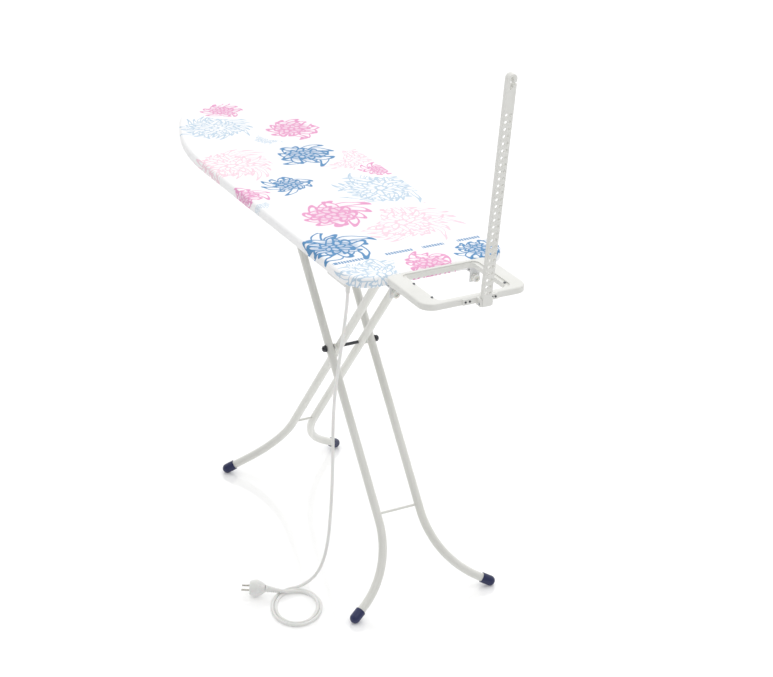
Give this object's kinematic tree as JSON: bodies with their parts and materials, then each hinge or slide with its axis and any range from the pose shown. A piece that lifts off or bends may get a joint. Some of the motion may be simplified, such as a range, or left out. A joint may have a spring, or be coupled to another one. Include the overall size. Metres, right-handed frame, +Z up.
{
  "type": "ironing board",
  "caption": "Folding ironing board with a scissor stand of bent tubes, a padded printed cover, an open iron rest, an upright cable arm and a mains socket with cord and plug.",
  "frame": {"origin": "on the floor under the middle of the overall box, with the legs at rest", "axes": "+X towards the wide end and the iron rest, +Y across the board, +Z up"},
  "size_m": [1.4729, 0.5676, 1.3622],
  "materials": {
    "cover_fabric": "printed woven cotton, matte",
    "pad_foam": "foam",
    "panel_steel": "light grey enamel, satin",
    "leg_enamel": "warm white enamel, satin gloss",
    "foot_plastic": "navy, satin",
    "dark_steel": "dark zinc",
    "zinc_steel": "bright zinc",
    "nylon": "natural nylon, satin",
    "rest_plastic": "off-white moulded, satin gloss",
    "grip_plastic": "navy, satin",
    "rubber_nub": "grey rubber",
    "socket_plastic": "white, satin gloss",
    "contact_metal": "nickel plated",
    "cord_sheath": "white PVC, satin"
  },
  "bodies": {
    "board": {"arm_holder": "rest_plastic", "arm_pin": "zinc_steel", "board_panel": "panel_steel", "board_rim": "panel_steel", "bracket_bolts": "dark_steel", "bracket_spacers": "zinc_steel", "cable_gland": "socket_plastic", "cord_coil": "cord_sheath", "cover": "cover_fabric", "cross_member_middle": "panel_steel", "cross_member_wide": "panel_steel", "earth_clip": "contact_metal", "hinge_bracket": "panel_steel", "hinge_clips": "nylon", "hinge_rod": "zinc_steel", "holder_screws": "dark_steel", "lever_bracket": "panel_steel", "lever_pin": "zinc_steel", "lever_spring": "zinc_steel", "pad": "pad_foam", "plug_body": "cord_sheath", "plug_pins": "contact_metal", "plug_strain_relief": "cord_sheath", "power_cord": "cord_sheath", "rail_hangers": "panel_steel", "rail_left": "panel_steel", "rail_right": "panel_steel", "rest_bracket_left": "panel_steel", "rest_bracket_right": "panel_steel", "rest_frame": "rest_plastic", "rest_knobs": "nylon", "rest_nubs": "rubber_nub", "rest_screws": "dark_steel", "socket_contacts": "contact_metal", "socket_housing": "socket_plastic", "socket_insert": "socket_plastic"},
    "inner_frame": {"inner_leg_left": "leg_enamel", "inner_leg_right": "leg_enamel", "inner_foot_left": "foot_plastic", "inner_foot_right": "foot_plastic", "inner_cross_rod": "leg_enamel", "hinge_sleeve": "zinc_steel", "pivot_axle": "dark_steel", "pivot_spacers": "nylon", "pivot_washers": "dark_steel", "pivot_nuts": "dark_steel"},
    "outer_frame": {"outer_leg_left": "leg_enamel", "outer_leg_right": "leg_enamel", "outer_foot_left": "foot_plastic", "outer_foot_right": "foot_plastic", "outer_cross_rod": "leg_enamel", "slide_bar": "zinc_steel"},
    "slide_carriage": {"slide_blocks": "nylon"},
    "height_lever": {"latch_bar": "zinc_steel", "lever_rod": "zinc_steel", "lever_grip": "grip_plastic"},
    "arm": {"cable_arm": "rest_plastic"}
  },
  "joints": [
    {"name": "leg_fold", "type": "hinge", "parent": "board", "child": "inner_frame", "pos_m": [0.32758, 0, 0.816], "axis": [0, 1, 0], "range_deg": [-8, 49.5]},
    {"name": "leg_cross", "type": "hinge", "parent": "inner_frame", "child": "outer_frame", "pos_m": [0.087, 0, 0.5073], "axis": [0, 1, 0], "range_deg": [-99, 16]},
    {"name": "slide_level", "type": "hinge", "parent": "outer_frame", "child": "slide_carriage", "pos_m": [-0.15357, 0, 0.816], "axis": [0, 1, 0], "range_deg": [-8, 49.5]},
    {"name": "lever_squeeze", "type": "hinge", "parent": "board", "child": "height_lever", "pos_m": [-0.00296, 0, 0.8275], "axis": [0, 1, 0], "range_deg": [0, 3], "stiffness_Nm_per_rad": 3, "springref_deg": -5.73},
    {"name": "arm_fold", "type": "hinge", "parent": "board", "child": "arm", "pos_m": [0.6713, 0.01, 0.85], "axis": [0, 1, 0], "range_deg": [0, 160]}
  ],
  "couplings": [
    {"joint": "leg_cross", "follows": "leg_fold", "ratio": -2},
    {"joint": "slide_level", "follows": "leg_fold", "ratio": 1}
  ]
}
